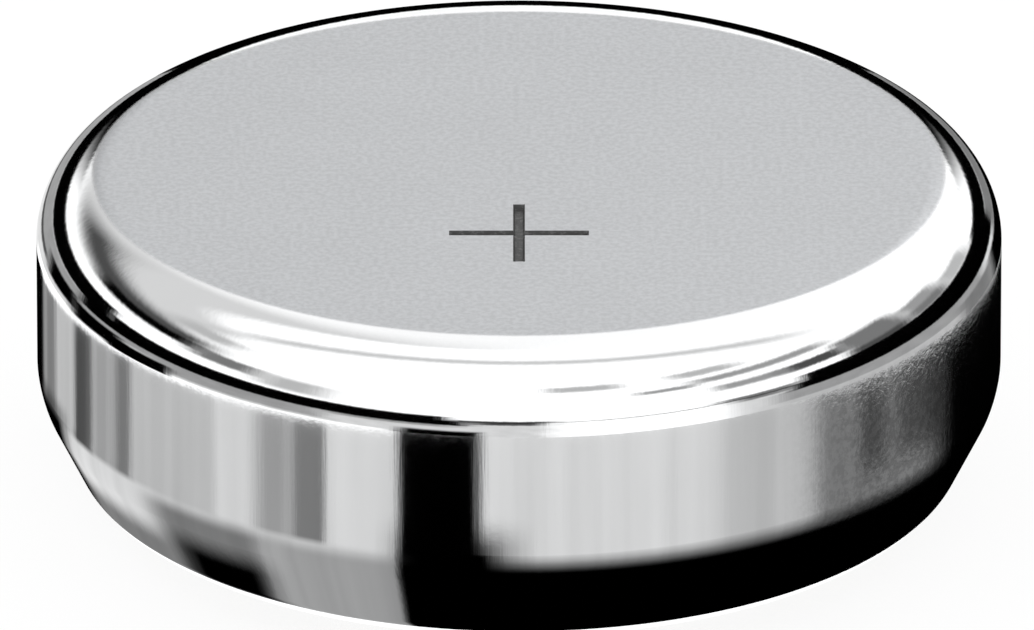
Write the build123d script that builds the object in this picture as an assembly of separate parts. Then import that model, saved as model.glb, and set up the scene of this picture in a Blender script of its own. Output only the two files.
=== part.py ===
from build123d import *
import math
import os

# A silver oxide button cell, in millimetres. The origin is the centre of the flat negative
# contact that the cell stands on, and +Z is the cell's axis, towards the positive face.

# Whole cell
cell_diameter = 5.8
cell_height = 2.1

# Positive can: one cup of nickel-plated steel sheet, with a raised face above a narrow ledge
can_wall = 0.15
face_step = 0.40
ledge_width = 0.24
step_draft = 6.0
crown_width = 0.19
crown_angle = 8.0
crown_radius = 0.8
shoulder_radius = 0.18
root_radius = 0.15
ledge_edge_radius = 0.08

# Crimp: the can's mouth, tapered inwards and rolled under the seal
knee_height = 0.78
knee_radius = 0.5
taper_angle = 26.0
roll_height = 0.25
roll_radius = 0.2
lip_angle = 20.0
lip_reach = 0.2

# Polarity mark: a plus sign pressed into the positive face, in front of its centre
mark_span = 0.835
mark_stroke = 0.07
mark_depth = 0.03
mark_offset = 0.9

# Negative cap: a shallow cup of thinner sheet, its skirt folded back down outside itself
cap_wall = 0.12
neck_edge_radius = 0.18
neck_root_radius = 0.05
cap_shoulder_width = 0.24
cap_shoulder_height = 0.46
cap_shoulder_radius = 0.1
fold_gap = 0.02
fold_end_rise = 0.05

# Seal: a nylon ring that fills the space between can and cap, with a foot over the fold
seal_wall = 0.25
seal_foot = 0.10
seal_foot_overhang = 0.14
seal_mouth_height = 0.21

# Cathode, its support ring, separator and pad, stacked below the positive face
pellet_thickness = 0.65
pellet_edge_radius = 0.1
support_sheet = 0.10
support_flange = 0.75
membrane_thickness = 0.05
pad_thickness = 0.15
fit = 0.01

# Heights and radii that follow from the sizes above
can_radius = cell_diameter / 2
bore_radius = can_radius - can_wall
ledge_height = cell_height - face_step
ledge_underside = ledge_height - can_wall
pellet_top = cell_height - can_wall
pellet_bottom = pellet_top - pellet_thickness
support_top = pellet_bottom + support_sheet
membrane_bottom = pellet_bottom - membrane_thickness
foot_bottom = membrane_bottom - seal_foot
pad_bottom = membrane_bottom - pad_thickness
skirt_radius = bore_radius - seal_wall
fold_radius = skirt_radius - cap_wall
inner_skirt_radius = fold_radius - fold_gap
neck_radius = inner_skirt_radius - cap_shoulder_width
cap_bore_radius = inner_skirt_radius - cap_wall
seal_foot_radius = cap_bore_radius - seal_foot_overhang
support_opening_radius = bore_radius - support_flange
fold_end = cap_shoulder_height + fold_end_rise


def travel(length, degrees):
    """Sideways travel, over a length, of a line that leans by an angle."""
    return length * math.tan(math.radians(degrees))


def rounded_face(corners):
    """Face in the XZ plane from (radius, height, rounding) corners, in order.

    Two roundings on a side that is too short for both shrink together until they fit it. A
    negative rounding is drawn as a flat from end to end, which keeps hidden bends simple.
    """
    points = [Vector(radius, height) for radius, height, rounding in corners]
    outward = [after - before for before, after in zip(points, points[1:] + points[:1])]
    inward = outward[-1:] + outward
    turns = [before.get_angle(after) for before, after in zip(inward, outward)]
    reaches = [travel(abs(corner[2]), turn / 2) for corner, turn in zip(corners, turns)]
    shares = [1.0] * len(corners)
    for first, side in enumerate(outward):
        second = (first + 1) % len(corners)
        wanted = reaches[first] + reaches[second]
        share = min(1.0, 0.98 * side.length / wanted) if wanted > 0 else 1.0
        shares[first] = min(shares[first], share)
        shares[second] = min(shares[second], share)
    outline = []
    for number, (point, share) in enumerate(zip(points, shares)):
        rounding, reach = corners[number][2] * share, reaches[number] * share
        if rounding < 0:
            outline.append((point - inward[number].normalized() * reach, 0))
            outline.append((point + outward[number].normalized() * reach, 0))
        else:
            outline.append((point, rounding))
    places, radii = zip(*outline)
    return Plane.XZ * make_face(FilletPolyline(places, radius=radii, close=True))


def moved_line(corners, distance):
    """Open outline moved sideways, to the right of its direction if distance is positive.

    A rounding on the side that it moves towards shrinks by the distance, and one on the
    other side grows by it, so both lines bound a sheet of even thickness. Its roundings
    are negative, because it is the sheet's hidden side.
    """
    points = [Vector(radius, height) for radius, height, rounding in corners]
    sides = [(after - before).normalized() for before, after in zip(points, points[1:])]
    moved = []
    for point, corner, before, after in zip(points, corners, sides[:1] + sides, sides + sides[-1:]):
        half_turn = math.radians(before.get_angle(after)) / 2
        sideways = Vector(before.Y + after.Y, -before.X - after.X).normalized()
        place = point + sideways * (distance / math.cos(half_turn))
        right_turn = before.X * after.Y < before.Y * after.X
        rounding = abs(corner[2]) - distance if right_turn else abs(corner[2]) + distance
        moved.append((place.X, place.Y, -max(rounding, 0) if corner[2] else 0))
    return moved


def turned(section):
    """Solid of revolution of a section about the cell's axis."""
    return revolve(section, Axis.Z, 360)


def disc(radius, bottom, top):
    """Flat round disc on the cell's axis."""
    upright = (Align.CENTER, Align.CENTER, Align.MIN)
    return Pos(0, 0, bottom) * Cylinder(radius, top - bottom, align=upright)


def can_outline():
    """Outside of the can, from the axis over the face and the ledge to the rolled mouth."""
    crown_drop = travel(crown_width, crown_angle)
    root = can_radius - ledge_width
    shoulder = root - travel(face_step - crown_drop, step_draft)
    roll = can_radius - travel(knee_height - roll_height, taper_angle)
    return [
        (0, cell_height, 0),
        (shoulder - crown_width, cell_height, crown_radius),
        (shoulder, cell_height - crown_drop, shoulder_radius),
        (root, ledge_height, root_radius),
        (can_radius, ledge_height, ledge_edge_radius),
        (can_radius, knee_height, knee_radius),
        (roll, roll_height, roll_radius),
        (roll - lip_reach, roll_height - travel(lip_reach, lip_angle), 0),
    ]


def can_section():
    """Half section of the can's sheet."""
    outside = can_outline()
    return rounded_face(outside + moved_line(outside, can_wall)[::-1])


def polarity_mark():
    """Cutter for the plus sign: two crossed bars that reach mark_depth into the face."""
    across = Box(mark_span, mark_stroke, 2 * mark_depth)
    along = Box(mark_stroke, mark_span, 2 * mark_depth)
    return Pos(0, -mark_offset, cell_height) * (across + along)


def positive_can():
    """Drawn cup with its stepped face, its crimped mouth and the pressed mark."""
    return turned(can_section()) - polarity_mark()


def cap_outline():
    """Outside of the cap, from the contact up the neck, over the fold and back down."""
    fold_inside = foot_bottom - cap_wall
    return [
        (0, 0, 0),
        (neck_radius, 0, neck_edge_radius),
        (neck_radius, cap_shoulder_height, -neck_root_radius),
        (inner_skirt_radius, cap_shoulder_height, -cap_shoulder_radius),
        (inner_skirt_radius, fold_inside, -fold_gap / 2),
        (fold_radius, fold_inside, -fold_gap / 2),
        (fold_radius, fold_end, 0),
    ]


def cap_section():
    """Half section of the cap's sheet."""
    outside = cap_outline()
    return rounded_face(outside + moved_line(outside, -cap_wall)[::-1])


def negative_cap():
    """Cap whose flat is the negative contact and whose folded skirt stands in the seal."""
    return turned(cap_section())


def sealing_gasket():
    """Nylon ring squeezed by the crimp: it takes up the space between can and cap.

    Its section is drawn to the middle of both sheets, and the sheets are then cut away.
    """
    can_middle = moved_line(can_outline(), can_wall / 2)
    cap_middle = moved_line(cap_outline(), -cap_wall / 2)
    neck_root, shoulder = cap_middle[2:4]
    bite = fold_end + cap_wall / 4
    skirt_middle = skirt_radius - cap_wall / 2
    fold_middle = fold_radius - fold_gap / 2
    under_fold = foot_bottom - cap_wall / 2
    blank = rounded_face(
        [(seal_foot_radius, membrane_bottom, 0), (can_middle[4][0], membrane_bottom, 0)]
        + can_middle[5:]
        + [(neck_root[0], seal_mouth_height, 0), neck_root, shoulder]
        + [(shoulder[0], bite, 0), (skirt_middle, bite, 0), (skirt_middle, under_fold, 0)]
        + [(fold_middle, under_fold, 0), (fold_middle, foot_bottom, 0)]
        + [(seal_foot_radius, foot_bottom, 0)]
    )
    pressed = blank - can_section() - cap_section()
    return turned(pressed.faces().sort_by(SortBy.AREA)[-1])


def pellet_radii():
    """Radii of the pellet inside the raised face and inside the support ring's wall."""
    inside_shoulder = moved_line(can_outline(), can_wall)[2]
    return inside_shoulder[0] - fit, bore_radius - support_sheet - 2 * fit


def cathode_pellet():
    """Pressed silver oxide disc, stepped as the inside of the can and the ring are."""
    face_radius, ring_radius = pellet_radii()
    boss_radius = support_opening_radius - fit
    return turned(rounded_face([
        (0, pellet_top, 0),
        (face_radius, pellet_top, -pellet_edge_radius),
        (face_radius, ledge_underside, 0),
        (ring_radius, ledge_underside, 0),
        (ring_radius, support_top, 0),
        (boss_radius, support_top, 0),
        (boss_radius, pellet_bottom, 0),
        (0, pellet_bottom, 0),
    ]))


def cathode_ring():
    """Support ring of bent sheet: a wall round the pellet and a flange that the seal presses."""
    outer = bore_radius - fit
    outside = [
        (support_opening_radius, pellet_bottom, 0),
        (outer, pellet_bottom, -support_sheet),
        (outer, ledge_underside - fit, 0),
    ]
    return turned(rounded_face(outside + moved_line(outside, -support_sheet)[::-1]))


def barrier_membrane():
    """Separator film whose edge is held between the seal's foot and the support ring."""
    return disc(bore_radius - fit, membrane_bottom, pellet_bottom)


def absorbent_pad():
    """Pad of electrolyte-soaked felt inside the seal's foot."""
    return disc(seal_foot_radius - fit, pad_bottom, membrane_bottom)


def zinc_anode():
    """Gelled zinc powder that fills the cap up to the pad."""
    cap_inside = moved_line(cap_outline(), -cap_wall)[:4]
    top = [(cap_bore_radius, pad_bottom, 0), (0, pad_bottom, 0)]
    return turned(rounded_face(cap_inside + top))


pieces = [
    positive_can,
    negative_cap,
    sealing_gasket,
    cathode_pellet,
    cathode_ring,
    barrier_membrane,
    absorbent_pad,
    zinc_anode,
]
os.makedirs("parts", exist_ok=True)
for piece in pieces:
    export_step(piece(), f"parts/{piece.__name__}.step")
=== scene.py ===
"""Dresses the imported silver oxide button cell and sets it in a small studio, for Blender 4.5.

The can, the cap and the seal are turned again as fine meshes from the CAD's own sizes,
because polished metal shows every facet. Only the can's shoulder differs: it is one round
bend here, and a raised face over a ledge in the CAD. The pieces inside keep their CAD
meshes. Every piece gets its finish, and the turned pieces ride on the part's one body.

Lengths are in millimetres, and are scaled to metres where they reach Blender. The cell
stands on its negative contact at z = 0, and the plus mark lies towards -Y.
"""

import bmesh
import bpy
import logging
import math
from dataclasses import dataclass, field
from enum import Enum
from mathutils import Matrix, Vector
from typing import Any, Callable, Mapping, NamedTuple, Sequence

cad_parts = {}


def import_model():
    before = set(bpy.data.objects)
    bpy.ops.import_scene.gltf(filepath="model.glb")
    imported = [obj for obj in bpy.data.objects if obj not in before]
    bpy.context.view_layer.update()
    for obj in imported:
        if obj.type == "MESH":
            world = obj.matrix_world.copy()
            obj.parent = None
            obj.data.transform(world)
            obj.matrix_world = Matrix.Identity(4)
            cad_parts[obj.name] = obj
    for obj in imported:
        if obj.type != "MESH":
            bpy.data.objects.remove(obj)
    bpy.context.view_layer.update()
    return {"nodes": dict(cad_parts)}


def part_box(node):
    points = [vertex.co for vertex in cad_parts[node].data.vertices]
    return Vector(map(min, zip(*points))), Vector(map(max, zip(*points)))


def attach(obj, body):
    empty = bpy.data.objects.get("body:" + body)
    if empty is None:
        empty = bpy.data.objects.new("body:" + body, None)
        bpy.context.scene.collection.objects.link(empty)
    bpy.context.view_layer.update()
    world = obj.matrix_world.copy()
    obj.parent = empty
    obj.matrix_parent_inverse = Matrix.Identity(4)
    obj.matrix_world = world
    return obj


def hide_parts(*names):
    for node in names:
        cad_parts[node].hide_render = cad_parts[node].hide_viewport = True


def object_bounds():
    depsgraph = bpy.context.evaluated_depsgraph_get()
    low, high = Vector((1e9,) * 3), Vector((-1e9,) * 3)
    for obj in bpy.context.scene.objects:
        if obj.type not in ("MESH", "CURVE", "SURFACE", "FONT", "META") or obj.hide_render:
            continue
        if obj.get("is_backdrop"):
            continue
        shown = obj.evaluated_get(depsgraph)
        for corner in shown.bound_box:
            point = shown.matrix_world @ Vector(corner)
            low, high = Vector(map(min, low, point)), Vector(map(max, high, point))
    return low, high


LOG = logging.getLogger("button_cell")
MM = 0.001
BODY = "root"
PHOTO_WIDTH = 1034
PHOTO_HEIGHT = 630

# How much of a side its roundings may take up, and the smallest that is drawn
ROUNDED_SHARE = 0.96
SMALLEST_REACH = 0.001
# How far beyond a rounding its support vertex lies, and the most of the side that this may be
SUPPORT_GAP = 0.004
SUPPORT_SHARE = 0.01
# The bend in degrees that is shaded as an edge, and the rise of a flat face's normal
SHARP_BEND = 25
FLAT_RISE = 0.9
TOLERANCE = 0.001
CUT_TOLERANCE = 1e-6
# The cards, and the ripples that bend their bands by degrees and vary their brightness
CARD_STEPS = (100, 40)
CARD_HEIGHT = 0.005
RIPPLE_SCALE = 0.35
RIPPLE_STRETCH = (1.0, 0.4, 1.0)
RIPPLE_BEND = 2.4
RIPPLE_DEPTH = 0.4
# The camera sees from the first to the second share of its distance
CLIP_SHARES = (0.001, 10.0)


class Corner(NamedTuple):
    """Corner of a half section, in millimetres."""

    radius: float
    height: float
    rounding: float = 0.0


def travel(length: float, degrees: float) -> float:
    """Works out how far a leaning line travels sideways.

    Args:
        length: The distance along the upright direction.
        degrees: The line's lean from it.

    Returns:
        The sideways distance.
    """
    return length * math.tan(math.radians(degrees))


def moved_line(corners: Sequence[Corner], distance: float) -> list[Corner]:
    """Moves an open outline sideways, as the other side of a sheet.

    Args:
        corners: The outline's corners, in order.
        distance: How far to the right of the outline's direction it moves.

    Returns:
        The moved corners, with roundings that keep the sheet's thickness even.
    """
    points = [Vector((corner.radius, corner.height)) for corner in corners]
    sides = [(after - before).normalized() for before, after in zip(points, points[1:])]
    moved = []
    for point, corner, into, out in zip(points, corners, sides[:1] + sides, sides + sides[-1:]):
        sideways = Vector((into.y + out.y, -into.x - out.x)).normalized()
        place = point + sideways * (distance / math.cos(into.angle(out) / 2))
        right_turn = into.x * out.y < into.y * out.x
        rounding = corner.rounding - distance if right_turn else corner.rounding + distance
        moved.append(Corner(place.x, place.y, max(rounding, 0.0) if corner.rounding else 0.0))
    return moved


def arithmetic(operation: str, swapped: bool = False) -> Callable[["Wire", Any], "Wire"]:
    """Makes one of Wire's arithmetic methods.

    Args:
        operation: Blender's name for the operation.
        swapped: Whether the other value comes first.

    Returns:
        The method.
    """

    def method(wire: "Wire", other: Any) -> "Wire":
        """Adds the operation's Math node."""
        return wire.math(operation, other, wire) if swapped else wire.math(operation, wire, other)

    return method


class Wire:
    """One value in a node tree: arithmetic on it adds Math nodes."""

    __add__ = arithmetic("ADD")
    __radd__ = arithmetic("ADD", swapped=True)
    __sub__ = arithmetic("SUBTRACT")
    __rsub__ = arithmetic("SUBTRACT", swapped=True)
    __mul__ = arithmetic("MULTIPLY")
    __rmul__ = arithmetic("MULTIPLY", swapped=True)
    __truediv__ = arithmetic("DIVIDE")
    __pow__ = arithmetic("POWER")

    def __init__(self, tree: "NodeTree", socket: bpy.types.NodeSocket) -> None:
        """Wraps an output socket of a node in the tree."""
        self.tree = tree
        self.socket = socket

    def math(self, operation: str, *values: Any) -> "Wire":
        """Adds a Math node.

        Args:
            operation: Blender's name for the operation.
            values: The node's inputs in order, as wires or numbers.

        Returns:
            The node's value.
        """
        return self.tree.add("ShaderNodeMath", {"operation": operation}, dict(enumerate(values)))

    def between(self, low: float, high: float) -> "Wire":
        """Rises smoothly from 0 at low to 1 at high."""
        return self.tree.add(
            "ShaderNodeMapRange",
            {"interpolation_type": "SMOOTHSTEP"},
            {"Value": self, "From Min": low, "From Max": high},
        )

    def between_mm(self, low: float, high: float) -> "Wire":
        """Rises smoothly from 0 at low to 1 at high, both in millimetres."""
        return self.between(low * MM, high * MM)


class NodeTree:
    """Node tree of a material or of the world, wired by expressions."""

    def __init__(self, owner: bpy.types.ID) -> None:
        """Empties the node tree of a material or world.

        Args:
            owner: The material or world.
        """
        owner.use_nodes = True
        self.tree = owner.node_tree
        self.tree.nodes.clear()

    def add(
        self,
        kind: str,
        settings: Mapping[str, Any] | None = None,
        inputs: Mapping[Any, Any] | None = None,
        output: Any = 0,
    ) -> Wire:
        """Adds a node.

        Args:
            kind: The node's type.
            settings: Its properties.
            inputs: Values or wires, by the name or number of their sockets.
            output: The name or number of the output that is wanted.

        Returns:
            The wanted output, or the first input of a node without outputs.
        """
        node = self.tree.nodes.new(kind)
        for name, value in (settings or {}).items():
            setattr(node, name, value)
        for name, value in (inputs or {}).items():
            if isinstance(value, Wire):
                self.tree.links.new(value.socket, node.inputs[name])
            else:
                node.inputs[name].default_value = value
        return Wire(self, (node.outputs or node.inputs)[output])

    def mix(self, factor: Any, first: Any, second: Any) -> Wire:
        """Mixes two colours.

        Args:
            factor: The second colour's share.
            first: The first colour.
            second: The second colour.

        Returns:
            The mixed colour.
        """
        settings = {"data_type": "RGBA"}
        return self.add("ShaderNodeMix", settings, {0: factor, 6: first, 7: second}, output=2)

    def place(self, stretch: Sequence[float] = (1.0, 1.0, 1.0)) -> Wire:
        """Reads the object's own coordinates.

        Args:
            stretch: What each coordinate is multiplied by.

        Returns:
            The stretched coordinates.
        """
        here = self.add("ShaderNodeTexCoord", output="Object")
        return self.add("ShaderNodeMapping", {}, {"Vector": here, "Scale": tuple(stretch)})

    def axes(self, vector: Wire) -> tuple[Wire, ...]:
        """Splits a vector.

        Args:
            vector: The vector.

        Returns:
            Its X, Y and Z, each as a wire.
        """
        split = self.add("ShaderNodeSeparateXYZ", {}, {0: vector}).socket.node
        return tuple(Wire(self, split.outputs[axis]) for axis in "XYZ")

    def noise(self, place: Wire, grain: float, detail: float = 3.0, rough: float = 0.5) -> Wire:
        """Adds noise.

        Args:
            place: The coordinates that it reads.
            grain: The size of its features, in millimetres.
            detail: How many finer layers it has.
            rough: How strong the finer layers are.

        Returns:
            Its value, around 0.5.
        """
        inputs = {"Vector": place, "Scale": 1 / (grain * MM), "Detail": detail, "Roughness": rough}
        return self.add("ShaderNodeTexNoise", {}, inputs)

    def bump(self, height: Wire, depth: float) -> Wire:
        """Adds a bump.

        Args:
            height: The relief, from 0 to 1.
            depth: How far it goes from lowest to highest, in millimetres.

        Returns:
            The bent normal.
        """
        return self.add("ShaderNodeBump", {}, {"Height": height, "Distance": depth * MM})


Colour = tuple[float, float, float, float]


def grey(level: float) -> Colour:
    """Makes a neutral colour."""
    return (level, level, level, 1.0)


def shade(colour: Colour, share: float) -> Colour:
    """Darkens a colour to a share of itself."""
    red, green, blue, alpha = colour
    return (share * red, share * green, share * blue, alpha)


@dataclass(frozen=True)
class Finish:
    """What all finishes share.

    Attributes:
        name: The material's name, which is also the record's slot.
        colour: The main colour.
        roughness: The mean roughness.
    """

    name: str
    colour: Colour
    roughness: float

    def material(self) -> bpy.types.Material:
        """Makes the material.

        Returns:
            The material, with its node tree wired.
        """
        material = bpy.data.materials.new(self.name)
        nodes = NodeTree(material)
        shader = nodes.add("ShaderNodeBsdfPrincipled", {}, self.sockets(nodes))
        nodes.add("ShaderNodeOutputMaterial", {}, {"Surface": shader})
        return material

    def sockets(self, nodes: NodeTree) -> dict[str, Any]:
        """Gives the shader's inputs.

        Args:
            nodes: The material's node tree.

        Returns:
            Values and wires by socket name.
        """
        return {"Base Color": self.colour, "Roughness": self.roughness}


@dataclass(frozen=True)
class DrawnNickel(Finish):
    """Nickel-plated steel: satin on the flat face, and polished elsewhere.

    A pair of lengths says where a soft change starts and where it ends.

    Attributes:
        satin: Roughness of the face.
        satin_colour: Colour of the face.
        face_height: The face's height.
        face_edge: Radii where the satin turns to polish.
        face_depth: Depths below the face where it starts.
        face_reach: How much further it reaches to the sides than to front and back.
        rubbed: Distances to the right of the axis where the wall becomes dull.
        rubbed_depth: Depths below the face where that ends.
        mottle: Size of the satin's mottling.
        specks: Size of the dull wall's specks.
        clouds: Size of the plating's clouds.
        streaks: Width of the wall's upright streaks.
        relief: Depth of mottling and streaks.
    """

    satin: float
    satin_colour: Colour
    face_height: float
    face_edge: tuple[float, float] = (2.37, 2.41)
    face_depth: tuple[float, float] = (0.09, 0.08)
    face_reach: float = 1.07
    rubbed: tuple[float, float] = (1.5, 2.3)
    rubbed_depth: tuple[float, float] = (0.5, 0.4)
    mottle: float = 0.035
    specks: float = 0.05
    clouds: float = 0.6
    streaks: float = 0.05
    relief: float = 0.0008

    def sockets(self, nodes: NodeTree) -> dict[str, Any]:
        """Gives the shader's inputs.

        Args:
            nodes: The material's node tree.

        Returns:
            Values and wires by socket name.
        """
        here = nodes.place()
        x, y, z = nodes.axes(here)
        across = x / self.face_reach
        radius = (across * across + y * y) ** 0.5
        inside = 1.0 - radius.between_mm(*self.face_edge)
        face = inside * z.between_mm(*(self.face_height - depth for depth in self.face_depth))
        rubbed = x.between_mm(*self.rubbed)
        rubbed *= 1.0 - z.between_mm(*(self.face_height - depth for depth in self.rubbed_depth))
        mottle = nodes.noise(here, self.mottle, detail=4.0, rough=0.6)
        grain = mottle.between(0.35, 0.65)
        cloud = nodes.noise(here, self.clouds)
        upright = nodes.place((1.0, 1.0, 0.04))
        streaks = nodes.noise(upright, self.streaks, detail=4.0, rough=0.6)
        specks = rubbed * nodes.noise(here, self.specks, rough=0.7).between(0.42, 0.6)
        tarnished = 0.6 * face * grain + 0.3 * cloud + 1.2 * specks
        polished = self.roughness + 0.02 * mottle + 0.02 * cloud + 0.04 * rubbed
        satin = self.satin + 0.08 * (mottle - 0.5)
        relief = streaks * (0.5 - 0.5 * face) + mottle * (0.1 + 1.3 * face + 1.5 * rubbed)
        metal = nodes.mix(face, self.colour, self.satin_colour)
        tarnish = nodes.mix(face, shade(self.colour, 0.75), shade(self.satin_colour, 0.8))
        return {
            "Base Color": nodes.mix(tarnished, metal, tarnish),
            "Metallic": 1.0,
            "Roughness": polished + face * (satin - polished),
            "Normal": nodes.bump(relief, self.relief),
        }


@dataclass(frozen=True)
class TurnedMetal(Finish):
    """Sheet metal with faint rings round the axis, where a tool or a contact has rubbed it.

    Attributes:
        ring: Width of one ring, in millimetres.
        relief: Depth of the rings, in millimetres.
    """

    ring: float
    relief: float

    def sockets(self, nodes: NodeTree) -> dict[str, Any]:
        """Gives the shader's inputs.

        Args:
            nodes: The material's node tree.

        Returns:
            Values and wires by socket name.
        """
        here = nodes.place()
        x, y, z = nodes.axes(here)
        radius = (x * x + y * y) ** 0.5
        profile = nodes.add("ShaderNodeCombineXYZ", {}, {"X": radius, "Z": z})
        rings = nodes.noise(profile, self.ring, rough=0.6)
        cloud = nodes.noise(here, grain=0.5, detail=4.0, rough=0.6)
        lengthways = nodes.place((1.0, 0.08, 1.0))
        scuffs = nodes.noise(lengthways, grain=0.03, detail=2.0).between(0.6, 0.75)
        return {
            "Base Color": nodes.mix(cloud, self.colour, shade(self.colour, 0.86)),
            "Metallic": 1.0,
            "Roughness": self.roughness + 0.1 * (rings - 0.5) + 0.08 * cloud + 0.06 * scuffs,
            "Normal": nodes.bump(rings + 0.3 * scuffs, self.relief),
        }


@dataclass(frozen=True)
class Grained(Finish):
    """Pressed powder, gel or etched metal, with grains that catch the light.

    Attributes:
        fleck: Colour of the grains.
        grain: Size of the grains, in millimetres.
        cover: How much of the surface they take, from 0 to 1.
        metallic: How metallic they are.
        relief: Their height, in millimetres.
    """

    fleck: Colour
    grain: float
    cover: float
    metallic: float
    relief: float

    def sockets(self, nodes: NodeTree) -> dict[str, Any]:
        """Gives the shader's inputs.

        Args:
            nodes: The material's node tree.

        Returns:
            Values and wires by socket name.
        """
        here = nodes.place()
        coarse = nodes.noise(here, self.grain, detail=2.0)
        fine = nodes.noise(here, self.grain / 4, rough=0.6)
        low = 0.65 - 0.3 * self.cover
        flecks = (0.6 * coarse + 0.4 * fine).between(low, low + 0.1)
        return {
            "Base Color": nodes.mix(flecks, self.colour, self.fleck),
            "Metallic": flecks * self.metallic,
            "Roughness": self.roughness - 0.2 * flecks,
            "Normal": nodes.bump(coarse + 0.5 * fine, self.relief),
        }


@dataclass(frozen=True)
class Moulded(Finish):
    """Moulded nylon: milky, a little uneven, with faint flow lines round the axis.

    Attributes:
        deep: Its colour where it is cloudier.
        relief: Depth of its flow lines, in millimetres.
    """

    deep: Colour
    relief: float

    def sockets(self, nodes: NodeTree) -> dict[str, Any]:
        """Gives the shader's inputs.

        Args:
            nodes: The material's node tree.

        Returns:
            Values and wires by socket name.
        """
        here = nodes.place()
        x, y, z = nodes.axes(here)
        profile = nodes.add("ShaderNodeCombineXYZ", {}, {"X": (x * x + y * y) ** 0.5, "Z": z})
        flow = nodes.noise(profile, grain=0.06)
        cloud = nodes.noise(here, grain=0.25, detail=4.0, rough=0.6)
        return {
            "Base Color": nodes.mix(cloud.between(0.35, 0.65), self.colour, self.deep),
            "Roughness": self.roughness + 0.12 * (cloud - 0.5),
            "Normal": nodes.bump(flow + 0.4 * cloud, self.relief),
        }


@dataclass(frozen=True)
class Fibrous(Finish):
    """Felt or film of crossed fibres.

    Attributes:
        gap: Colour between the fibres, darker there as painted shade in the gaps.
        fibre: Thickness of a fibre, in millimetres.
        relief: Depth between the fibres, in millimetres.
    """

    gap: Colour
    fibre: float
    relief: float

    def sockets(self, nodes: NodeTree) -> dict[str, Any]:
        """Gives the shader's inputs.

        Args:
            nodes: The material's node tree.

        Returns:
            Values and wires by socket name.
        """
        along = nodes.noise(nodes.place((0.1, 1.0, 1.0)), self.fibre)
        across = nodes.noise(nodes.place((1.0, 0.1, 1.0)), self.fibre)
        fibres = along.math("MAXIMUM", along, across).between(0.42, 0.68)
        # The gaps between the fibres, where the bump sinks, are painted darker as shade
        return {
            "Base Color": nodes.mix(fibres, self.gap, self.colour),
            "Roughness": self.roughness - 0.1 * fibres,
            "Normal": nodes.bump(fibres, self.relief),
        }


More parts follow.
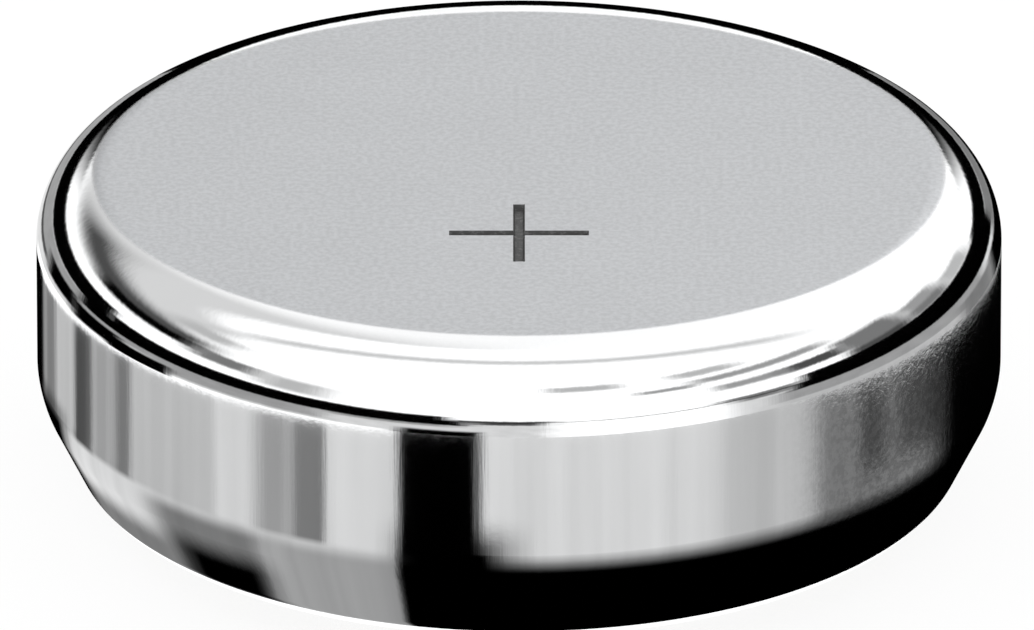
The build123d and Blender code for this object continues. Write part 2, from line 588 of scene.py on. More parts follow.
@dataclass
class TurnedPiece:
    """Piece turned about the cell's axis as a fine mesh.

    Attributes:
        node: The CAD node that it stands for.
        slot: The record's material slot. Not used.
        around: Steps round the axis.
        arc_step: Most degrees that one step of a rounding turns.
        closed: Whether the section is a closed loop clear of the axis.
    """

    node: str
    slot: str
    around: int = 192
    arc_step: float = 8.0
    closed: bool = False

    def section(self) -> list[Corner]:
        """Gives the section's corners, in order. It is open where it meets the axis."""
        raise NotImplementedError

    def fitted(self, wanted: Sequence[float], sides: Sequence[Vector]) -> list[float]:
        """Shrinks the reaches of roundings that don't fit on a side together.

        Args:
            wanted: How far each corner's rounding would reach along its sides.
            sides: The side that leaves each corner.

        Returns:
            How far each rounding reaches.
        """
        shares = [1.0] * len(wanted)
        for first, side in enumerate(sides):
            second = (first + 1) % len(wanted)
            both = wanted[first] + wanted[second]
            share = min(1.0, ROUNDED_SHARE * side.length / both) if both else 1.0
            shares[first] = min(shares[first], share)
            shares[second] = min(shares[second], share)
        return [reach * share for reach, share in zip(wanted, shares)]

    def draw(self, mesh: bmesh.types.BMesh) -> None:
        """Draws the section as a chain of edges, with its roundings.

        Args:
            mesh: The mesh that takes it.
        """
        corners = self.section()
        points = [Vector((corner.radius, 0.0, corner.height)) for corner in corners]
        sides = [after - before for before, after in zip(points, points[1:] + points[:1])]
        inward = sides[-1:] + sides[:-1]
        turns = [before.angle(after) for before, after in zip(inward, sides)]
        wanted = [c.rounding * math.tan(turn / 2) for c, turn in zip(corners, turns)]
        if not self.closed:
            wanted[0] = wanted[-1] = 0.0
        reaches = self.fitted(wanted, sides)
        chain, rounded = [], []
        for point, into, out, turn, reach in zip(points, inward, sides, turns, reaches):
            if reach <= SMALLEST_REACH:
                chain.append(mesh.verts.new(point))
                continue
            # A support vertex on each side keeps the rounding's shading off the flats
            beyond = reach + min(SUPPORT_GAP, SUPPORT_SHARE * into.length, SUPPORT_SHARE * out.length)
            chain.append(mesh.verts.new(point - into.normalized() * beyond))
            chain.append(mesh.verts.new(point))
            rounded.append((chain[-1], reach, max(2, math.ceil(math.degrees(turn) / self.arc_step))))
            chain.append(mesh.verts.new(point + out.normalized() * beyond))
        for before, after in zip(chain, chain[1:] + chain[:1] if self.closed else chain[1:]):
            mesh.edges.new((before, after))
        for vertex, reach, steps in rounded:
            bmesh.ops.bevel(
                mesh,
                geom=[vertex],
                offset=reach,
                offset_type="ABSOLUTE",
                segments=steps,
                profile=0.5,
                affect="VERTICES",
                material=-1,
            )

    def turn(self) -> bmesh.types.BMesh:
        """Turns the section.

        Returns:
            The mesh, in millimetres, with its holes on the axis filled.
        """
        mesh = bmesh.new()
        self.draw(mesh)
        bmesh.ops.spin(
            mesh,
            geom=mesh.verts[:] + mesh.edges[:],
            cent=(0, 0, 0),
            axis=(0, 0, 1),
            angle=math.tau,
            steps=self.around,
            use_merge=True,
        )
        rims = [edge for edge in mesh.edges if edge.is_boundary]
        if rims:
            bmesh.ops.holes_fill(mesh, edges=rims, sides=0)
        bmesh.ops.recalc_face_normals(mesh, faces=mesh.faces[:])
        return mesh

    def finish_mesh(self, mesh: bmesh.types.BMesh) -> None:
        """Adds what turning can't make. A plain turned piece has nothing."""

    def build(self, materials: Sequence[bpy.types.Material]) -> None:
        """Builds the piece and hands it to the frame.

        Args:
            materials: Its materials, in slot order.
        """
        mesh = self.turn()
        self.finish_mesh(mesh)
        mesh.transform(Matrix.Scale(MM, 4))
        data = bpy.data.meshes.new(f"turned_{self.node}")
        mesh.to_mesh(data)
        mesh.free()
        data.shade_smooth()
        data.set_sharp_from_angle(angle=math.radians(SHARP_BEND))
        piece = bpy.data.objects.new(f"turned_{self.node}", data)
        bpy.context.scene.collection.objects.link(piece)
        for material in materials:
            data.materials.append(material)
        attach(piece, BODY)
        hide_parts(self.node)
        LOG.info("%s: %d faces", piece.name, len(data.polygons))


@dataclass
class PositiveCan(TurnedPiece):
    """Drawn cup with a flat face, a round shoulder, a straight wall and a crimped mouth.

    Attributes are in millimetres and degrees. They are the CAD's sizes, apart from the radius
    of the shoulder, the slope of the plus mark's sides, and hub: the radius inside which the
    face is one flat polygon, ready for the mark.
    """

    node: str = "positive_can"
    slot: str = "nickel_can"
    around: int = 320
    arc_step: float = 4.0
    wall: float = 0.15
    shoulder_radius: float = 0.43
    knee_height: float = 0.78
    knee_radius: float = 0.5
    taper_angle: float = 26.0
    roll_height: float = 0.25
    roll_radius: float = 0.2
    lip_angle: float = 20.0
    lip_reach: float = 0.2
    mark_span: float = 0.835
    mark_stroke: float = 0.07
    mark_depth: float = 0.03
    mark_slope: float = 0.012
    mark_offset: float = 0.9
    hub: float = 2.0
    radius: float = field(init=False)
    height: float = field(init=False)

    def __post_init__(self) -> None:
        """Takes the can's radius and the face's height from the frame."""
        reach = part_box(self.node)[1]
        self.radius, self.height = reach[0] / MM, reach[2] / MM

    def outside(self) -> list[Corner]:
        """Gives the outline from the hub over the shoulder and down to the rolled mouth."""
        roll = self.radius - travel(self.knee_height - self.roll_height, self.taper_angle)
        lip = self.roll_height - travel(self.lip_reach, self.lip_angle)
        return [
            Corner(self.hub, self.height),
            Corner(self.radius, self.height, self.shoulder_radius),
            Corner(self.radius, self.knee_height, self.knee_radius),
            Corner(roll, self.roll_height, self.roll_radius),
            Corner(roll - self.lip_reach, lip),
        ]

    def inside(self) -> list[Corner]:
        """Gives the sheet's inner side, from the hub to the mouth."""
        return moved_line(self.outside(), self.wall)

    def section(self) -> list[Corner]:
        """Gives the sheet's half section, open towards the axis."""
        return self.outside() + self.inside()[::-1]

    def mirrored(self, around: float, radius: float, height: float, lean: float, tilt: float) -> Vector:
        """Follows a sight line that the can's side mirrors down to the floor.

        Args:
            around: Where the line meets the side, in radians from the front.
            radius: How far from the axis it meets the side, in millimetres.
            height: How high it meets the side, in millimetres.
            lean: How far the side faces upwards there, in radians.
            tilt: The viewer's height above the horizon, in radians.

        Returns:
            The place on the floor, in millimetres.
        """
        outward = Vector((math.sin(around), -math.cos(around), 0.0))
        normal = outward * math.cos(lean) + Vector((0.0, 0.0, math.sin(lean)))
        onward = Vector((0.0, math.cos(tilt), -math.sin(tilt))).reflect(normal)
        return outward * radius + Vector((0.0, 0.0, height)) - onward * (height / onward.z)

    def below_wall(self, degrees: float, height: float, elevation: float) -> Vector:
        """Finds what the wall, the knee or the taper mirrors.

        Args:
            degrees: The place on the side, from the front.
            height: Its height, in millimetres.
            elevation: The viewer's height above the horizon, in degrees.

        Returns:
            The place on the floor, in millimetres.
        """
        knee_top = self.knee_height + travel(self.knee_radius, self.taper_angle / 2)
        turned = math.asin(min(1.0, max(0.0, knee_top - height) / self.knee_radius))
        lean = min(turned, math.radians(self.taper_angle))
        below = knee_top - self.knee_radius * math.sin(lean) - height
        radius = self.radius - self.knee_radius * (1 - math.cos(lean))
        radius -= travel(max(0.0, below), self.taper_angle)
        return self.mirrored(math.radians(degrees), radius, height, -lean, math.radians(elevation))

    def below_shoulder(self, degrees: float, mirrored_at: float, elevation: float) -> Vector:
        """Finds what the shoulder mirrors below the horizon.

        Args:
            degrees: The place on the shoulder, from the front.
            mirrored_at: Elevation of the mirrored direction, in degrees below zero.
            elevation: The viewer's height above the horizon, in degrees.

        Returns:
            The place on the floor, in millimetres.
        """
        around, tilt = math.radians(degrees), math.radians(elevation)
        level, rise = math.cos(tilt) * math.cos(around), math.sin(tilt)
        sunk = math.asin(math.sin(math.radians(mirrored_at)) / math.hypot(level, rise))
        lean = (math.atan2(rise, level) + sunk) / 2
        radius = self.radius - self.shoulder_radius * (1 - math.cos(lean))
        height = self.height - self.shoulder_radius * (1 - math.sin(lean))
        return self.mirrored(around, radius, height, lean, tilt)

    def on_mark(self, place: Vector) -> bool:
        """Tells whether a place on the face lies in the plus mark.

        Args:
            place: The place, in millimetres.

        Returns:
            True inside either bar.
        """
        across, along = abs(place.x), abs(place.y + self.mark_offset)
        return min(across, along) < self.mark_stroke / 2 and max(across, along) < self.mark_span / 2

    def hub_faces(self, mesh: bmesh.types.BMesh) -> list[bmesh.types.BMFace]:
        """Finds the flat hub: one polygon at first, and its pieces once it is cut.

        Args:
            mesh: The turned mesh, in millimetres.

        Returns:
            The hub's faces.
        """
        level, rim = self.height - TOLERANCE, self.hub + TOLERANCE
        flat = [face for face in mesh.faces if face.normal.z > FLAT_RISE]
        return [f for f in flat if all(v.co.z > level and v.co.xy.length < rim for v in f.verts)]

    def finish_mesh(self, mesh: bmesh.types.BMesh) -> None:
        """Presses the plus mark into the face, with sloping sides.

        Args:
            mesh: The turned mesh, in millimetres.
        """
        cuts = [s * size / 2 for s in (-1, 1) for size in (self.mark_span, self.mark_stroke)]
        for axis, centre in ((Vector((1, 0, 0)), 0.0), (Vector((0, 1, 0)), -self.mark_offset)):
            for cut in cuts:
                hub = self.hub_faces(mesh)
                geom = set(hub) | {v for f in hub for v in f.verts} | {e for f in hub for e in f.edges}
                bmesh.ops.bisect_plane(
                    mesh,
                    geom=list(geom),
                    dist=CUT_TOLERANCE,
                    plane_co=axis * (centre + cut),
                    plane_no=axis,
                )
        mark = [face for face in self.hub_faces(mesh) if self.on_mark(face.calc_center_median())]
        walls = bmesh.ops.inset_region(
            mesh,
            faces=mark,
            thickness=self.mark_slope,
            depth=-self.mark_depth,
            use_boundary=True,
            use_even_offset=True,
        )["faces"]
        for face in mark + walls:
            face.material_index = 1


@dataclass
class NegativeCap(TurnedPiece):
    """Shallow cup whose flat is the negative contact and whose skirt is folded back.

    Attributes are the CAD's sizes in millimetres, and hub, inside which the flat is one polygon.
    """

    node: str = "negative_cap"
    slot: str = "nickel_cap"
    wall: float = 0.12
    neck_edge_radius: float = 0.18
    neck_root_radius: float = 0.05
    shoulder_width: float = 0.24
    shoulder_height: float = 0.46
    shoulder_radius: float = 0.1
    fold_gap: float = 0.02
    fold_end_rise: float = 0.05
    hub: float = 1.5
    skirt: float = field(init=False)
    top: float = field(init=False)

    def __post_init__(self) -> None:
        """Takes the folded skirt's radius and the fold's height from the frame."""
        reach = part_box(self.node)[1]
        self.skirt, self.top = reach[0] / MM, reach[2] / MM

    @property
    def fold_end(self) -> float:
        """Gives the height at which the folded skirt ends."""
        return self.shoulder_height + self.fold_end_rise

    def outside(self) -> list[Corner]:
        """Gives the outline from the hub up the neck, over the fold and back down."""
        fold = self.skirt - self.wall
        inner = fold - self.fold_gap
        neck = inner - self.shoulder_width
        inside_fold = self.top - self.wall
        return [
            Corner(self.hub, 0.0),
            Corner(neck, 0.0, self.neck_edge_radius),
            Corner(neck, self.shoulder_height, self.neck_root_radius),
            Corner(inner, self.shoulder_height, self.shoulder_radius),
            Corner(inner, inside_fold, self.fold_gap / 2),
            Corner(fold, inside_fold, self.fold_gap / 2),
            Corner(fold, self.fold_end),
        ]

    def section(self) -> list[Corner]:
        """Gives the sheet's half section, open towards the axis."""
        outside = self.outside()
        return outside + moved_line(outside, -self.wall)[::-1]


@dataclass
class SealingGasket(TurnedPiece):
    """Nylon ring between can and cap, seen as a narrow band in the can's mouth.

    Attributes:
        can: The can that squeezes it.
        cap: The cap that it holds.
        mouth_height: Its height where it meets the cap's neck, in millimetres.
        foot: Thickness of its foot over the fold, in millimetres.
        foot_overhang: How far the foot reaches inside the cap's bore, in millimetres.
    """

    node: str = "sealing_gasket"
    slot: str = "nylon_seal"
    closed: bool = True
    can: PositiveCan = field(default_factory=PositiveCan)
    cap: NegativeCap = field(default_factory=NegativeCap)
    mouth_height: float = 0.21
    foot: float = 0.10
    foot_overhang: float = 0.14

    def section(self) -> list[Corner]:
        """Gives the closed half section, which follows the can's inside and the cap's outside."""
        cap = self.cap
        knee, roll, lip = self.can.inside()[2:]
        lip_end = self.can.outside()[-1]
        neck, root, shoulder = cap.outside()[1:4]
        bore = self.can.radius - self.can.wall
        foot_radius = shoulder.radius - cap.wall - self.foot_overhang
        bite = cap.fold_end + cap.wall / 4
        return [
            Corner(foot_radius, cap.top + self.foot),
            Corner(bore, cap.top + self.foot),
            knee,
            roll,
            lip,
            Corner((lip.radius + lip_end.radius) / 2, (lip.height + lip_end.height) / 2),
            Corner(neck.radius, self.mouth_height),
            root,
            shoulder,
            Corner(shoulder.radius, bite),
            Corner(cap.skirt - cap.wall, bite),
            Corner(cap.skirt - cap.wall, cap.fold_end),
            Corner(cap.skirt, cap.fold_end),
            Corner(cap.skirt, cap.top, cap.wall + cap.fold_gap / 2),
            Corner(cap.skirt - cap.wall, cap.top),
            Corner(foot_radius, cap.top),
        ]


class Tone(Enum):
    """How bright a studio surface looks in the metal."""

    BLACK = 0.0
    SHADE = 0.09
    DIM = 0.24
    MIDDLE = 0.42
    PALE = 0.62
    LIGHT = 0.85
    WHITE = 1.5


@dataclass(frozen=True)
class Band:
    """Stretch of the studio that looks evenly bright in the metal.

    Attributes:
        start: Where it starts, in degrees from the front, positive to the right.
        end: Where it ends. Past 180 it goes on round the back.
        bottom: Its lower side: a height on the can's side in millimetres, or else the
            elevation of the mirrored direction in degrees.
        top: Its upper side.
        tone: How bright it is.
        blur: Half the width of its soft ends, in degrees.
        fade: Half the width of its soft sides, in the unit of bottom and top.
    """

    start: float
    end: float
    bottom: float
    top: float
    tone: Tone
    blur: float = 3.0
    fade: float = 1.0

    def cover(self, bearing: Wire, height: Wire) -> Wire:
        """Tells how much of the band lies in a direction.

        Args:
            bearing: Degrees from the front.
            height: The height or elevation.

        Returns:
            1 in the band and 0 outside it.
        """
        if self.end > 180:
            bearing = bearing.math("FLOORED_MODULO", bearing, 360.0)
        inside = bearing.between(self.start - self.blur, self.start + self.blur)
        inside *= 1.0 - bearing.between(self.end - self.blur, self.end + self.blur)
        inside *= height.between(self.bottom - self.fade, self.bottom + self.fade)
        return inside * (1.0 - height.between(self.top - self.fade, self.top + self.fade))


def painted(base: Tone, bands: Sequence[Band], bearing: Wire, height: Wire) -> Wire:
    """Lays bands over one another.

    Args:
        base: The tone between the bands.
        bands: The bands, from the lowest layer up.
        bearing: Degrees from the front.
        height: The height or elevation.

    Returns:
        The brightness.
    """
    level = base.value
    for band in bands:
        level = level + band.cover(bearing, height) * (band.tone.value - level)
    return level


# What the wall, the knee and the taper mirror, by height on the can's side
STREAKS = (
    Band(-100, -79, 0.50, 1.9, Tone.BLACK, 2.0, 0.03),
    Band(-79, -73, 0.80, 1.9, Tone.DIM, 2.0, 0.03),
    Band(-73, -67, 0.85, 1.9, Tone.PALE, 2.0, 0.03),
    Band(-67, -62, 0.85, 1.9, Tone.SHADE, 1.0, 0.03),
    Band(-62, -57, 0.85, 1.9, Tone.MIDDLE, 2.0, 0.03),
    Band(-57, -53, 0.85, 1.9, Tone.DIM, 1.5, 0.03),
    Band(-53, -38, 0.85, 1.9, Tone.PALE, 1.5, 0.03),
    Band(-38, -33, 0.85, 1.9, Tone.LIGHT, 2.0, 0.03),
    Band(-33, -28, 0.85, 1.9, Tone.MIDDLE, 2.0, 0.03),
    Band(-28, -23, 0.85, 1.9, Tone.DIM, 1.5, 0.03),
    Band(-23, -14, 0.80, 1.9, Tone.LIGHT, 1.5, 0.03),
    Band(-80, -14, 1.63, 1.9, Tone.WHITE, 2.0, 0.015),
    Band(-14.5, -4.5, 0.10, 1.9, Tone.BLACK, 1.2, 0.03),
    Band(24, 37, 0.80, 1.9, Tone.PALE, 3.0, 0.05),
    Band(37, 44, 0.80, 1.9, Tone.DIM, 3.0, 0.05),
    Band(43, 51, 0.80, 1.9, Tone.SHADE, 3.0, 0.05),
    Band(50, 62, 0.80, 1.9, Tone.SHADE, 3.0, 0.05),
    Band(42, 62, 0.80, 1.02, Tone.DIM, 3.0, 0.08),
    Band(59, 130, 0.10, 1.9, Tone.BLACK, 4.0, 0.05),
    Band(-73, -48, 0.10, 0.82, Tone.LIGHT, 4.0, 0.06),
    Band(-73, -48, 0.10, 0.52, Tone.DIM, 4.0, 0.12),
    Band(-50, -31, 0.10, 0.82, Tone.DIM, 4.0, 0.06),
    Band(-48, -32, 0.10, 0.58, Tone.BLACK, 4.0, 0.12),
    Band(-31, -14.5, 0.10, 0.82, Tone.MIDDLE, 3.0, 0.06),
    Band(-100, -70, 0.10, 0.92, Tone.BLACK, 3.0, 0.10),
    Band(-14.5, -1, 0.00, 1.00, Tone.BLACK, 3.5, 0.14),
    # Right of the front, the knee and the taper mirror the cell's own shadow on the floor: painted
    # shadow, black on the card
    Band(-14.5, 130, 0.00, 0.84, Tone.BLACK, 1.0, 0.07),
)
# What the shoulder mirrors below the horizon, by the elevation of that direction
FLOOR_RINGS = (
    Band(-35, 8, -24, -5, Tone.LIGHT),
    Band(-50, -24, -20, -6, Tone.MIDDLE, 3.0, 1.5),
    Band(-130, -48, -13, -2, Tone.MIDDLE),
    Band(-24, -8, -11, -6, Tone.MIDDLE),
    Band(-85, -16, -30, -21.5, Tone.WHITE, 2.0, 0.7),
    Band(-59, -46, -27, -14, Tone.BLACK, 1.5, 1.0),
    Band(-68, -55, -22.5, -11, Tone.BLACK, 2.5, 1.0),
    Band(-78, -66, -18.5, -8, Tone.BLACK, 2.5, 1.0),
    Band(-130, -78, -16.5, -13, Tone.SHADE),
    Band(32, 75, -20, -7, Tone.MIDDLE),
    Band(32, 66, -27, -20, Tone.PALE),
    Band(66, 78, -27, -14, Tone.DIM, 3.0, 1.5),
    Band(78, 130, -27, -12, Tone.BLACK),
    Band(84, 130, -12, -2, Tone.DIM),
    Band(-14.5, -4.5, -27, -17, Tone.BLACK, 1.2, 1.5),
    Band(-66, -6, -8, 5, Tone.BLACK, 2.0, 0.7),
    Band(-6, 4, -5, 5, Tone.SHADE, 2.5, 1.0),
    Band(24, 34, -5, 5, Tone.DIM),
    Band(34, 86, -8.5, 5, Tone.BLACK, 2.0, 0.7),
    Band(-130, 130, -1.5, 5, Tone.BLACK, 3.0, 0.7),
    Band(4, 26, -30, 5, Tone.WHITE),
)
# What the shoulder and the face mirror above the horizon, by elevation
SKY_BANDS = (
    Band(182, 262, 20, 52, Tone.LIGHT, 10.0, 4.0),
    Band(-110, -84, 37, 46, Tone.PALE, 8.0, 3.0),
    Band(-160, -82, 22, 34, Tone.SHADE, 10.0, 5.0),
    Band(-128, -82, 19.5, 26.5, Tone.BLACK, 7.0, 1.5),
    Band(-86, -64, 15, 26, Tone.DIM, 7.0, 2.0),
    Band(-64, -46, 9, 25, Tone.PALE, 7.0, 3.0),
    Band(48, 68, 18, 26, Tone.MIDDLE, 4.0, 2.0),
    Band(66, 86, 16.5, 26, Tone.SHADE, 5.0, 1.5),
    Band(84, 106, 8, 31, Tone.DIM, 4.0, 3.0),
    Band(84, 104, 6, 14, Tone.SHADE, 4.0, 2.0),
    Band(106, 122, 9, 25, Tone.MIDDLE, 4.0, 2.0),
    Band(106, 122, 9, 16, Tone.DIM, 4.0, 2.0),
    Band(122, 137, 9, 19, Tone.PALE, 4.0, 2.0),
    Band(30, 46, 31, 36, Tone.MIDDLE, 4.0, 1.5),
    Band(46, 88, 34, 41, Tone.MIDDLE, 6.0, 2.0),
    Band(8, 30, 46, 54, Tone.PALE, 5.0, 2.0),
    Band(46, 68, 46, 54, Tone.PALE, 6.0, 2.0),
    Band(-110, -16, -9, 5.5, Tone.BLACK, 3.0, 0.8),
    Band(-16, 8, -9, 1.5, Tone.SHADE, 4.0, 1.0),
    Band(46, 68, -9, 3, Tone.DIM, 5.0, 1.0),
    Band(68, 150, -9, 9.0, Tone.BLACK, 3.0, 0.8),
    Band(140, 252, -9, 11, Tone.BLACK, 3.0, 0.8),
    Band(163, 197, -9, 18.5, Tone.BLACK, 8.0, 1.0),
)


@dataclass
class Studio:
    """Pale floor, soft light, what the polished metal mirrors, and the camera.

    Attributes:
        elevation: The camera's height above the horizon, in degrees.
        distance: The camera's distance.
        pixels_per_mm: The photo's scale.
        axis_column: The photo's column of the cell's axis, in pixels.
        middle_row: The photo's row of the cell's centre, in pixels.
        floor_width: The floor's width.
        floor_level: How pale the floor is.
        floor_glow: Brightness of the white that the camera sees over the floor.
        floor_share: How much of that white it sees. The rest keeps the shadow.
        far_floor: Radii between which the floor turns black in the metal.
        back_floor: Distances behind the axis between which it does too.
        daylight: How much light matt surfaces get.
        seam: Where the tent's seam starts, is darkest and ends, by the direction's Y.
        seam_rise: Where it sets in, by the direction's Z.
        seam_shade: How much light it takes.
    """

    elevation: float = 24.3
    distance: float = 170.0
    pixels_per_mm: float = 166.2
    axis_column: float = 519.0
    middle_row: float = 331.0
    floor_width: float = 400.0
    floor_level: float = 0.85
    floor_glow: float = 1.05
    floor_share: float = 0.85
    far_floor: tuple[float, float] = (60.0, 78.0)
    back_floor: tuple[float, float] = (3.0, 4.5)
    daylight: float = 0.95
    seam: tuple[float, float, float] = (0.04, 0.17, 0.30)
    seam_rise: tuple[float, float] = (0.7, 0.9)
    seam_shade: float = 0.5

    def camera(self) -> None:
        """Sets up the camera at the photo's viewing angle."""
        low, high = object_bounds()
        centre = (Vector(low) + Vector(high)) / 2
        tilt = math.radians(self.elevation)
        away = Vector((0.0, -math.cos(tilt), math.sin(tilt)))
        right = (PHOTO_WIDTH / 2 - self.axis_column) / self.pixels_per_mm * MM
        up = (self.middle_row - PHOTO_HEIGHT / 2) / self.pixels_per_mm * MM
        aim = centre + Vector((right, 0.0, up / math.cos(tilt)))
        data = bpy.data.cameras.new("camera")
        data.lens = data.sensor_width * self.distance * self.pixels_per_mm / PHOTO_WIDTH
        data.clip_start, data.clip_end = (share * self.distance * MM for share in CLIP_SHARES)
        camera = bpy.data.objects.new("camera", data)
        camera.location = aim + away * self.distance * MM
        camera.rotation_euler = (math.pi / 2 - tilt, 0.0, 0.0)
        bpy.context.scene.collection.objects.link(camera)
        bpy.context.scene.camera = camera

    def lay(self, name: str, mesh: bmesh.types.BMesh, material: bpy.types.Material) -> bpy.types.Object:
        """Lays a sheet in the studio.

        Args:
            name: The object's name.
            mesh: Its mesh, in millimetres.
            material: Its material.

        Returns:
            The object, marked as stage.
        """
        mesh.transform(Matrix.Scale(MM, 4))
        data = bpy.data.meshes.new(name)
        mesh.to_mesh(data)
        mesh.free()
        data.materials.append(material)
        sheet = bpy.data.objects.new(name, data)
        bpy.context.scene.collection.objects.link(sheet)
        sheet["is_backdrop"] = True
        return sheet

    def floor(self) -> None:
        """Lays the pale floor, which shows as white and keeps the cell's shadow."""
        material = bpy.data.materials.new("floor")
        nodes = NodeTree(material)
        camera = nodes.add("ShaderNodeLightPath", output="Is Camera Ray")
        glossy = nodes.add("ShaderNodeLightPath", output="Is Glossy Ray")
        paper = nodes.add("ShaderNodeBsdfDiffuse", {}, {"Color": grey(self.floor_level)})
        white = nodes.add("ShaderNodeEmission", {}, {"Strength": self.floor_glow})
        x, y, _ = nodes.axes(nodes.place())
        far = ((x * x + y * y) ** 0.5).between_mm(*self.far_floor)
        level = Tone.WHITE.value * (1.0 - far) * (1.0 - y.between_mm(*self.back_floor))
        bright = nodes.add("ShaderNodeEmission", {}, {"Color": level})
        shown = camera * self.floor_share
        seen = nodes.add("ShaderNodeMixShader", {}, {0: shown, 1: paper, 2: white})
        look = nodes.add("ShaderNodeMixShader", {}, {0: glossy, 1: seen, 2: bright})
        nodes.add("ShaderNodeOutputMaterial", {}, {"Surface": look})
        mesh = bmesh.new()
        bmesh.ops.create_grid(mesh, x_segments=1, y_segments=1, size=self.floor_width / 2)
        self.lay("floor", mesh, material)

    def lay_card(
        self,
        name: str,
        bands: Sequence[Band],
        bearings: tuple[float, float],
        rows: tuple[float, float],
        below: Callable[[float, float, float], Vector],
    ) -> None:
        """Lays a card on the floor that only polished metal sees, painted with bands.

        Args:
            name: The card's name.
            bands: Its bands, over a light base.
            bearings: Where it starts and ends round the can, in degrees from the front.
            rows: Its lowest and highest row, in the unit of the bands' bottom and top.
            below: Gives the place on the floor that the can mirrors at a bearing and row.
        """
        material = bpy.data.materials.new(name)
        nodes = NodeTree(material)
        here = nodes.add("ShaderNodeTexCoord", output="UV")
        bearing, row, _ = nodes.axes(here)
        fine = nodes.add("ShaderNodeMapping", {}, {"Vector": here, "Scale": RIPPLE_STRETCH})
        inputs = {"Vector": fine, "Scale": RIPPLE_SCALE, "Detail": 3.0}
        ripple = nodes.add("ShaderNodeTexNoise", {}, inputs)
        wobble = bearing + RIPPLE_BEND * (ripple - 0.5)
        level = painted(Tone.LIGHT, bands, wobble, row)
        level *= 1.0 - RIPPLE_DEPTH / 2 + RIPPLE_DEPTH * ripple
        glow = nodes.add("ShaderNodeEmission", {}, {"Color": level})
        nodes.add("ShaderNodeOutputMaterial", {}, {"Surface": glow})
        mesh = bmesh.new()
        # A square of side 1 is stretched to bearings and rows, and then laid on the floor
        bmesh.ops.create_grid(mesh, x_segments=CARD_STEPS[0], y_segments=CARD_STEPS[1], size=0.5)
        layer = mesh.loops.layers.uv.new("bearing_and_row")
        for vertex in mesh.verts:
            vertex.co.x = bearings[0] + (bearings[1] - bearings[0]) * (vertex.co.x + 0.5)
            vertex.co.y = rows[0] + (rows[1] - rows[0]) * (vertex.co.y + 0.5)
        for face in mesh.faces:
            for loop in face.loops:
                loop[layer].uv = loop.vert.co.xy
        for vertex in mesh.verts:
            vertex.co = below(vertex.co.x, vertex.co.y, self.elevation)
            vertex.co.z = CARD_HEIGHT
        card = self.lay(name, mesh, material)
        card.visible_camera = card.visible_diffuse = False
        card.visible_transmission = card.visible_shadow = False

    def world(self) -> None:
        """Lights the studio evenly, with a tent overhead that only polished metal sees."""
        world = bpy.data.worlds.new("studio")
        bpy.context.scene.world = world
        nodes = NodeTree(world)
        camera = nodes.add("ShaderNodeLightPath", output="Is Camera Ray")
        glossy = nodes.add("ShaderNodeLightPath", output="Is Glossy Ray")
        x, y, z = nodes.axes(nodes.add("ShaderNodeTexCoord", output="Generated"))
        bearing = x.math("ARCTAN2", x, 0.0 - y) * math.degrees(1.0)
        elevation = z.math("ARCSINE", z) * math.degrees(1.0)
        seam = y.between(*self.seam[:2]) * (1.0 - y.between(*self.seam[1:]))
        seam *= z.between(*self.seam_rise)
        tent = painted(Tone.WHITE, SKY_BANDS, bearing, elevation) * (1.0 - self.seam_shade * seam)
        plain = nodes.add("ShaderNodeBackground", {}, {"Color": grey(self.daylight)})
        white = nodes.add("ShaderNodeBackground", {}, {"Color": grey(1.0)})
        mirrored = nodes.add("ShaderNodeBackground", {}, {"Color": tent})
        seen = nodes.add("ShaderNodeMixShader", {}, {0: camera, 1: plain, 2: white})
        sky = nodes.add("ShaderNodeMixShader", {}, {0: glossy, 1: seen, 2: mirrored})
        nodes.add("ShaderNodeOutputWorld", {}, {"Surface": sky})

    def build(self, can: PositiveCan) -> None:
        """Builds the studio round the cell.

        Args:
            can: The can that mirrors the cards.
        """
        self.floor()
        wall_rows = (0.1, can.height - can.shoulder_radius)
        shoulder_rows = (-24.2, -1.2)
        self.lay_card("side_card", STREAKS, (-90.0, 90.0), wall_rows, can.below_wall)
        self.lay_card(
            "shoulder_card", FLOOR_RINGS, (-125.0, 125.0), shoulder_rows, can.below_shoulder
        )
        self.world()
        self.camera()
        bpy.context.scene.view_settings.view_transform = "Standard"


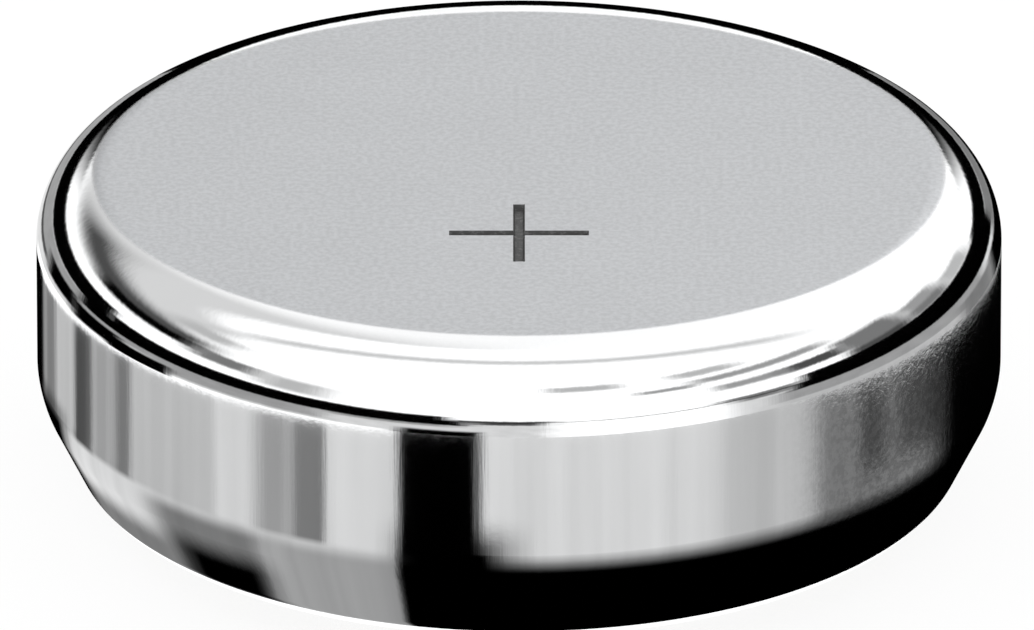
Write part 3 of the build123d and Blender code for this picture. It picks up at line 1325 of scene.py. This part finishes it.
# By CAD node: each finish starts with its name, colour and roughness
INNER_FINISHES: dict[str, Finish] = {
    "cathode_pellet": Grained(
        "silver_oxide", grey(0.03), 0.75, grey(0.16), grain=0.02, cover=0.35, metallic=0.5, relief=0.004
    ),
    "cathode_ring": TurnedMetal(
        "support_steel", (0.62, 0.60, 0.57, 1.0), 0.28, ring=0.04, relief=0.001
    ),
    # The second colour of the film and the felt is painted shade between their fibres
    "barrier_membrane": Fibrous(
        "separator_film", (0.85, 0.84, 0.78, 1.0), 0.45, (0.72, 0.70, 0.62, 1.0), fibre=0.01, relief=0.001
    ),
    "absorbent_pad": Fibrous(
        "felt", (0.80, 0.79, 0.74, 1.0), 0.85, (0.45, 0.44, 0.40, 1.0), fibre=0.02, relief=0.012
    ),
    "zinc_anode": Grained(
        "zinc_gel",
        (0.16, 0.17, 0.19, 1.0),
        0.5,
        (0.55, 0.57, 0.60, 1.0),
        grain=0.05,
        cover=0.6,
        metallic=0.9,
        relief=0.01,
    ),
}


def dress_inner_pieces(nodes: Mapping[str, bpy.types.Object]) -> None:
    """Gives the pieces inside the cell their finishes, and keeps their CAD meshes.

    Args:
        nodes: The CAD nodes by name.
    """
    for name, finish in INNER_FINISHES.items():
        piece = nodes[name]
        piece.data.materials.clear()
        piece.data.materials.append(finish.material())
        LOG.info("%s: %s", name, finish.name)


def main() -> None:
    """Builds the pieces in order, then the studio."""
    logging.basicConfig(level=logging.INFO, format="%(name)s: %(message)s")
    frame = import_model()
    can, cap = PositiveCan(), NegativeCap()
    nickel = DrawnNickel(
        name="nickel_can",
        colour=(0.79, 0.795, 0.80, 1.0),
        roughness=0.03,
        satin=0.40,
        satin_colour=(0.60, 0.61, 0.625, 1.0),
        face_height=can.height,
    )
    mark = Grained(
        "pressed_mark", grey(0.05), 0.55, grey(0.12), grain=0.03, cover=0.5, metallic=0.6, relief=0.001
    )
    contact = TurnedMetal("nickel_cap", (0.76, 0.75, 0.73, 1.0), 0.16, ring=0.05, relief=0.0006)
    nylon = Moulded(
        "nylon_seal", (0.72, 0.71, 0.66, 1.0), 0.38, deep=(0.60, 0.58, 0.50, 1.0), relief=0.002
    )
    can.build([nickel.material(), mark.material()])
    cap.build([contact.material()])
    SealingGasket(can=can, cap=cap).build([nylon.material()])
    dress_inner_pieces(frame["nodes"])
    Studio().build(can)


if __name__ == "__main__":
    main()
